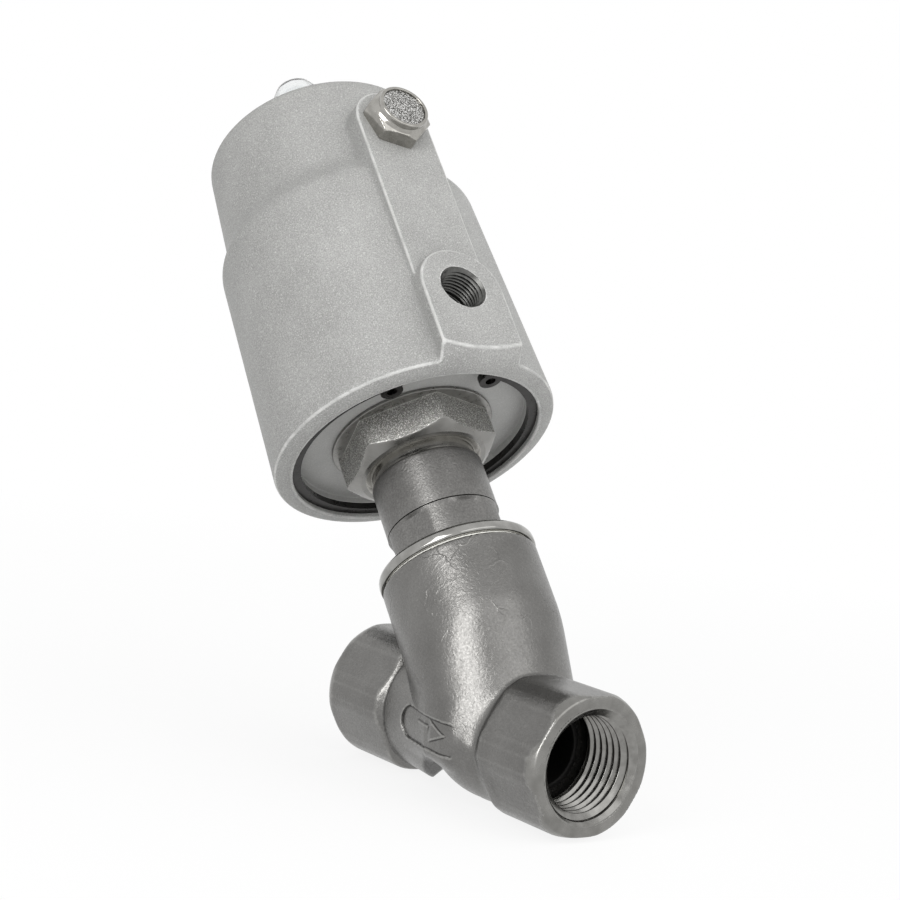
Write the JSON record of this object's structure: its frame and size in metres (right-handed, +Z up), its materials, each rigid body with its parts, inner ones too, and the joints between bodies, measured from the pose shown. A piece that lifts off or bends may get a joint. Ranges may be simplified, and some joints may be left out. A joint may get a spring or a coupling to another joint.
{
  "type": "pneumatic shut-off valve",
  "caption": "Y-pattern angle seat valve with two threaded pipe ports and a spring-closed piston actuator on a leaning stem.",
  "frame": {"origin": "centre of the outlet port's mouth", "axes": "+X out of the outlet port along the pipe axis, +Z up, the stem leans from the pipe towards -X"},
  "size_m": [0.1403, 0.062, 0.145],
  "materials": {
    "cast_steel": "bead-blasted investment-cast stainless steel",
    "turned_steel": "turned stainless steel",
    "nut_steel": "zinc-plated steel with a rough blasted face",
    "washer_steel": "thin rolled steel",
    "cast_aluminium": "blasted and lacquered cast aluminium",
    "cover_aluminium": "matt cast aluminium",
    "ring_steel": "oiled black spring steel",
    "spring_steel": "spring steel wire",
    "nickel_brass": "nickel-plated brass",
    "mesh_steel": "pressed wire mesh",
    "clear_plastic": "clear moulded plastic",
    "signal_plastic": "moulded plastic",
    "seal_rubber": "moulded rubber",
    "ptfe": "pressed fluoropolymer",
    "bush_plastic": "filled bearing plastic"
  },
  "bodies": {
    "valve_body": {"body_casting": "cast_steel", "bonnet": "turned_steel", "gland_bush": "turned_steel", "packing_follower": "turned_steel", "lock_nut": "nut_steel", "lock_washer": "washer_steel", "actuator_housing": "cast_aluminium", "bottom_cover": "cover_aluminium", "retaining_ring": "ring_steel", "closing_spring": "spring_steel", "inner_spring": "spring_steel", "disc_springs": "spring_steel", "silencer_body": "nickel_brass", "silencer_mesh": "mesh_steel", "sight_cap": "clear_plastic", "cover_seal": "seal_rubber", "rod_seal": "seal_rubber", "cap_seal": "seal_rubber", "packing_rings": "ptfe", "bonnet_gasket": "ptfe", "lower_guide_bush": "bush_plastic", "rod_bush": "bush_plastic"},
    "stem_assembly": {"stem": "turned_steel", "disc_holder": "turned_steel", "seat_seal": "ptfe", "seal_washer": "turned_steel", "disc_nut": "turned_steel", "piston": "cover_aluminium", "piston_guide_band": "bush_plastic", "piston_seal": "seal_rubber", "piston_washer": "nut_steel", "piston_nut": "nut_steel", "indicator_pin": "signal_plastic"}
  },
  "joints": [
    {"name": "stem_lift", "type": "slide", "parent": "valve_body", "child": "stem_assembly", "axis": [-0.6561, 0, 0.7547], "range_m": [0, 0.01], "stiffness_N_per_m": 4000, "springref_m": -0.02, "deforming": ["closing_spring", "inner_spring"]}
  ]
}
